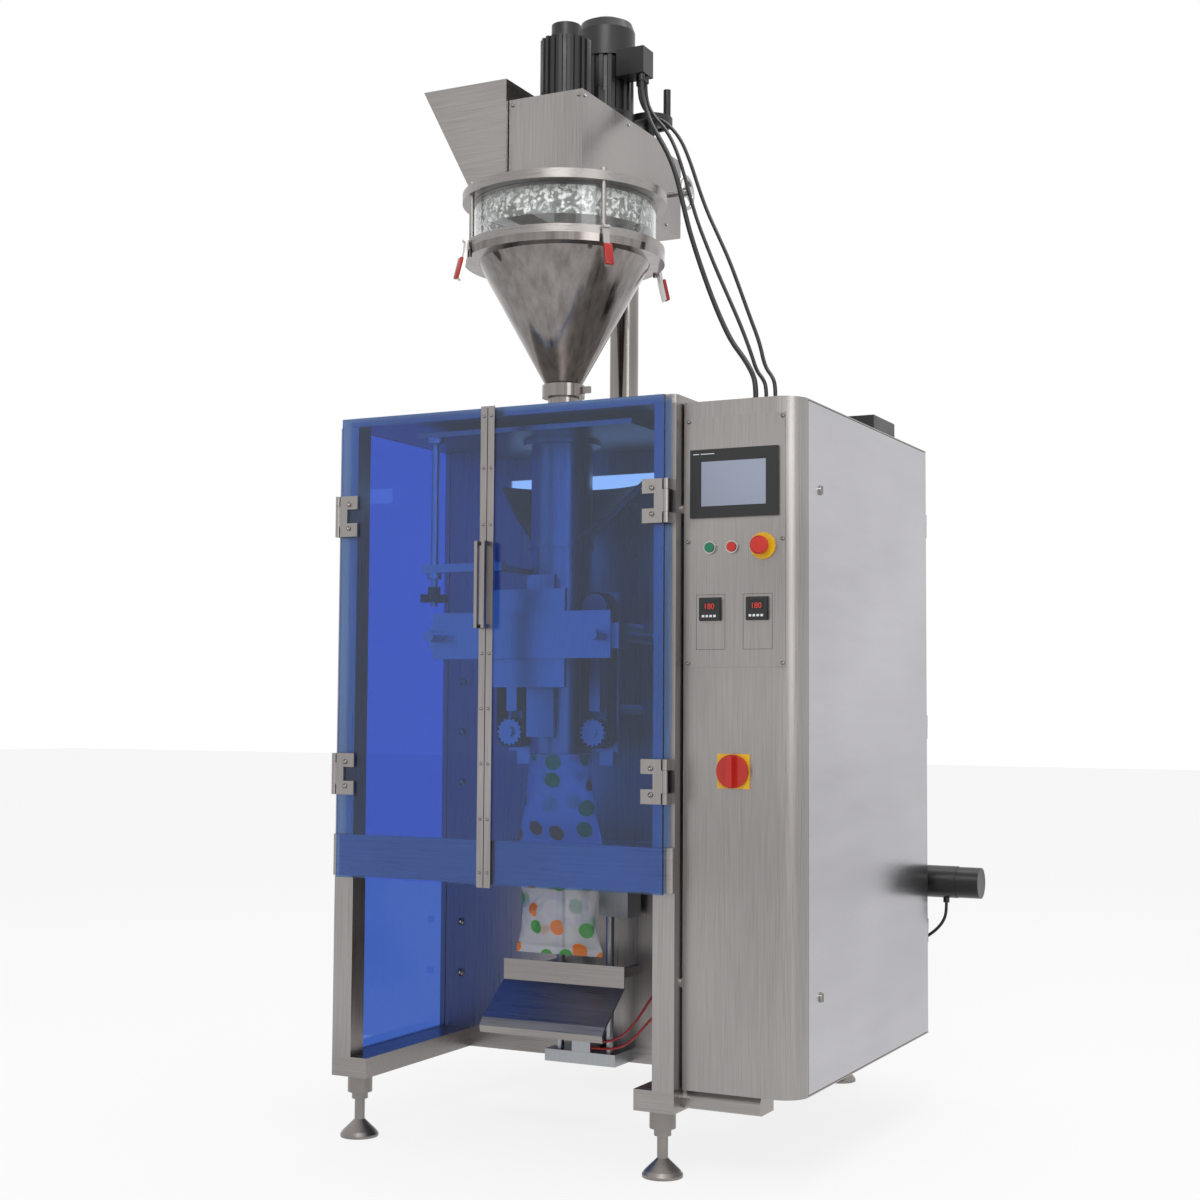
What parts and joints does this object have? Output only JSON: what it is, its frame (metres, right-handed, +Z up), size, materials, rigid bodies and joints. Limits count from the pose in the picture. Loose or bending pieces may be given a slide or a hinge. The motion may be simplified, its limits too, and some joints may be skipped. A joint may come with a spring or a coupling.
{
  "type": "vertical bagging machine with auger powder filler",
  "caption": "Free-standing vertical form-fill-seal bagging machine with an auger powder filler, blue guard doors and a control cabinet at its right.",
  "frame": {"origin": "on the floor, under the middle of the machine's bounding box", "axes": "-Y out of the front, +X to the right seen from the front, +Z up"},
  "size_m": [1.286, 1.307, 2.783],
  "materials": {
    "stainless": "brushed",
    "polished": "polished",
    "aluminium": "satin",
    "blue_acrylic": "clear tinted",
    "dark_acrylic": "clear tinted",
    "clear_acrylic": "clear",
    "black_plastic": "matte",
    "black_paint": "semi-gloss",
    "red_plastic": "gloss",
    "green_plastic": "gloss",
    "yellow_plastic": "gloss",
    "chrome": "polished",
    "belt_rubber": "matte",
    "cable_rubber": "satin",
    "hose_red": "satin",
    "film": "clear",
    "zinc": "satin"
  },
  "bodies": {
    "frame": {"frame_posts": "stainless", "base_rails": "stainless", "top_plate": "stainless", "back_plate": "stainless", "side_panel": "dark_acrylic", "front_apron": "stainless", "levelling_feet": "zinc", "cabinet_shell": "stainless", "panel_instruments": "black_plastic", "button_bezels": "chrome", "yellow_plates": "yellow_plastic", "cabinet_top_box": "black_plastic", "forming_set": "stainless", "belt_frames": "aluminium", "sealer_crosshead": "aluminium", "jaw_guide_frame": "aluminium", "discharge_chute": "stainless", "film_and_bag": "film", "film_stand": "stainless", "film_motor": "black_paint", "column": "polished", "door_hinge_leaves": "stainless", "transport_belts": "belt_rubber", "cable_film_motor": "cable_rubber", "air_hose_upper": "hose_red", "air_hose_lower": "hose_red"},
    "door_left": {"door_left_panel": "blue_acrylic", "door_left_trim": "stainless"},
    "door_right": {"door_right_panel": "blue_acrylic", "door_right_trim": "stainless"},
    "side_door": {"side_door": "stainless"},
    "cam_lock_upper": {"cam_lock_upper": "chrome"},
    "cam_lock_lower": {"cam_lock_lower": "chrome"},
    "start_button": {"start_button": "green_plastic"},
    "stop_button": {"stop_button": "red_plastic"},
    "estop_button": {"estop_button": "red_plastic"},
    "switch_knob": {"switch_knob": "red_plastic"},
    "filler_head": {"gearbox_case": "stainless", "hopper_lid": "stainless", "hopper_cylinder": "clear_acrylic", "hopper_cone": "polished", "drive_motors": "black_paint", "cable_main": "cable_rubber", "cable_signal": "cable_rubber", "cable_stirrer": "cable_rubber"},
    "auger": {"auger": "stainless"},
    "agitator": {"agitator": "stainless"},
    "latch_1": {"latch_1": "chrome"},
    "latch_2": {"latch_2": "chrome"},
    "latch_3": {"latch_3": "chrome"},
    "latch_4": {"latch_4": "chrome"},
    "crank_wheel": {"crank_wheel": "black_plastic"},
    "clamp_wheel": {"clamp_wheel": "chrome"},
    "star_knob": {"star_knob": "black_plastic"},
    "vertical_seal_bar": {"vertical_seal_bar": "aluminium"},
    "jaw_front": {"jaw_front": "aluminium"},
    "jaw_rear": {"jaw_rear": "aluminium"},
    "pulley_left": {"pulley_left": "aluminium"},
    "pulley_right": {"pulley_right": "aluminium"},
    "film_roll": {"film_roll": "film"}
  },
  "joints": [
    {"name": "left_door_hinge", "type": "hinge", "parent": "frame", "child": "door_left", "pos_m": [-0.623, -0.6215, 1.1], "axis": [0, 0, -1], "range_deg": [0, 110]},
    {"name": "right_door_hinge", "type": "hinge", "parent": "frame", "child": "door_right", "pos_m": [0.239, -0.6215, 1.1], "axis": [0, 0, 1], "range_deg": [0, 110]},
    {"name": "side_door_hinge", "type": "hinge", "parent": "frame", "child": "side_door", "pos_m": [0.517, 0.3825, 0.9], "axis": [0, 0, 1], "range_deg": [0, 90]},
    {"name": "upper_lock_turn", "type": "hinge", "parent": "side_door", "child": "cam_lock_upper", "pos_m": [0.523, -0.4265, 1.494], "axis": [1, 0, 0], "range_deg": [0, 90]},
    {"name": "lower_lock_turn", "type": "hinge", "parent": "side_door", "child": "cam_lock_lower", "pos_m": [0.523, -0.4265, 0.391], "axis": [1, 0, 0], "range_deg": [0, 90]},
    {"name": "start_press", "type": "slide", "parent": "frame", "child": "start_button", "axis": [0, 1, 0], "range_m": [0, 0.004], "stiffness_N_per_m": 400},
    {"name": "stop_press", "type": "slide", "parent": "frame", "child": "stop_button", "axis": [0, 1, 0], "range_m": [0, 0.004], "stiffness_N_per_m": 400},
    {"name": "estop_press", "type": "slide", "parent": "frame", "child": "estop_button", "axis": [0, 1, 0], "range_m": [0, 0.006]},
    {"name": "main_switch_turn", "type": "hinge", "parent": "frame", "child": "switch_knob", "pos_m": [0.3742, -0.5715, 0.8786], "axis": [0, 1, 0], "range_deg": [0, 90]},
    {"name": "filler_lift", "type": "slide", "parent": "frame", "child": "filler_head", "axis": [0, 0, 1], "range_m": [0, 0.1]},
    {"name": "auger_spin", "type": "hinge", "parent": "filler_head", "child": "auger", "pos_m": [-0.173, -0.3265, 1.9], "axis": [0, 0, 1], "continuous": true},
    {"name": "agitator_spin", "type": "hinge", "parent": "filler_head", "child": "agitator", "pos_m": [-0.173, -0.3265, 2.1], "axis": [0, 0, 1], "continuous": true},
    {"name": "latch_1_lever", "type": "hinge", "parent": "filler_head", "child": "latch_1", "pos_m": [0.02364, -0.4915, 2.126], "axis": [-0.6428, -0.766, 0], "range_deg": [0, 120]},
    {"name": "latch_2_lever", "type": "hinge", "parent": "filler_head", "child": "latch_2", "pos_m": [-0.008, -0.12986, 2.126], "axis": [0.766, -0.6428, 0], "range_deg": [0, 120]},
    {"name": "latch_3_lever", "type": "hinge", "parent": "filler_head", "child": "latch_3", "pos_m": [-0.36964, -0.1615, 2.126], "axis": [0.6428, 0.766, 0], "range_deg": [0, 120]},
    {"name": "latch_4_lever", "type": "hinge", "parent": "filler_head", "child": "latch_4", "pos_m": [-0.338, -0.52314, 2.126], "axis": [-0.766, 0.6428, 0], "range_deg": [0, 120]},
    {"name": "lift_crank", "type": "hinge", "parent": "filler_head", "child": "crank_wheel", "pos_m": [-0.109, 0.0235, 2.5], "axis": [0, 0, 1], "range_deg": [0, 3601]},
    {"name": "clamp_wheel_turn", "type": "hinge", "parent": "filler_head", "child": "clamp_wheel", "pos_m": [-0.045, 0.0375, 2.35], "axis": [1, 0, 0], "range_deg": [0, 720]},
    {"name": "star_knob_turn", "type": "hinge", "parent": "frame", "child": "star_knob", "pos_m": [-0.418, -0.5115, 1.271], "axis": [0, 0, 1], "range_deg": [0, 720]},
    {"name": "vertical_seal_press", "type": "slide", "parent": "frame", "child": "vertical_seal_bar", "axis": [0, 1, 0], "range_m": [0, 0.01]},
    {"name": "front_jaw_close", "type": "slide", "parent": "frame", "child": "jaw_front", "axis": [0, 1, 0], "range_m": [0, 0.04]},
    {"name": "rear_jaw_close", "type": "slide", "parent": "frame", "child": "jaw_rear", "axis": [0, -1, 0], "range_m": [0, 0.04]},
    {"name": "left_pulley_spin", "type": "hinge", "parent": "frame", "child": "pulley_left", "pos_m": [-0.2853, -0.3615, 0.955], "axis": [0, 1, 0], "continuous": true},
    {"name": "right_pulley_spin", "type": "hinge", "parent": "frame", "child": "pulley_right", "pos_m": [-0.0607, -0.3615, 0.955], "axis": [0, 1, 0], "continuous": true},
    {"name": "film_roll_spin", "type": "hinge", "parent": "frame", "child": "film_roll", "pos_m": [-0.173, 0.4235, 0.52], "axis": [1, 0, 0], "continuous": true}
  ],
  "couplings": [
    {"joint": "rear_jaw_close", "follows": "front_jaw_close", "ratio": 1},
    {"joint": "right_pulley_spin", "follows": "left_pulley_spin", "ratio": -1},
    {"joint": "lift_crank", "follows": "filler_lift", "rad_per_m": 628.32}
  ]
}
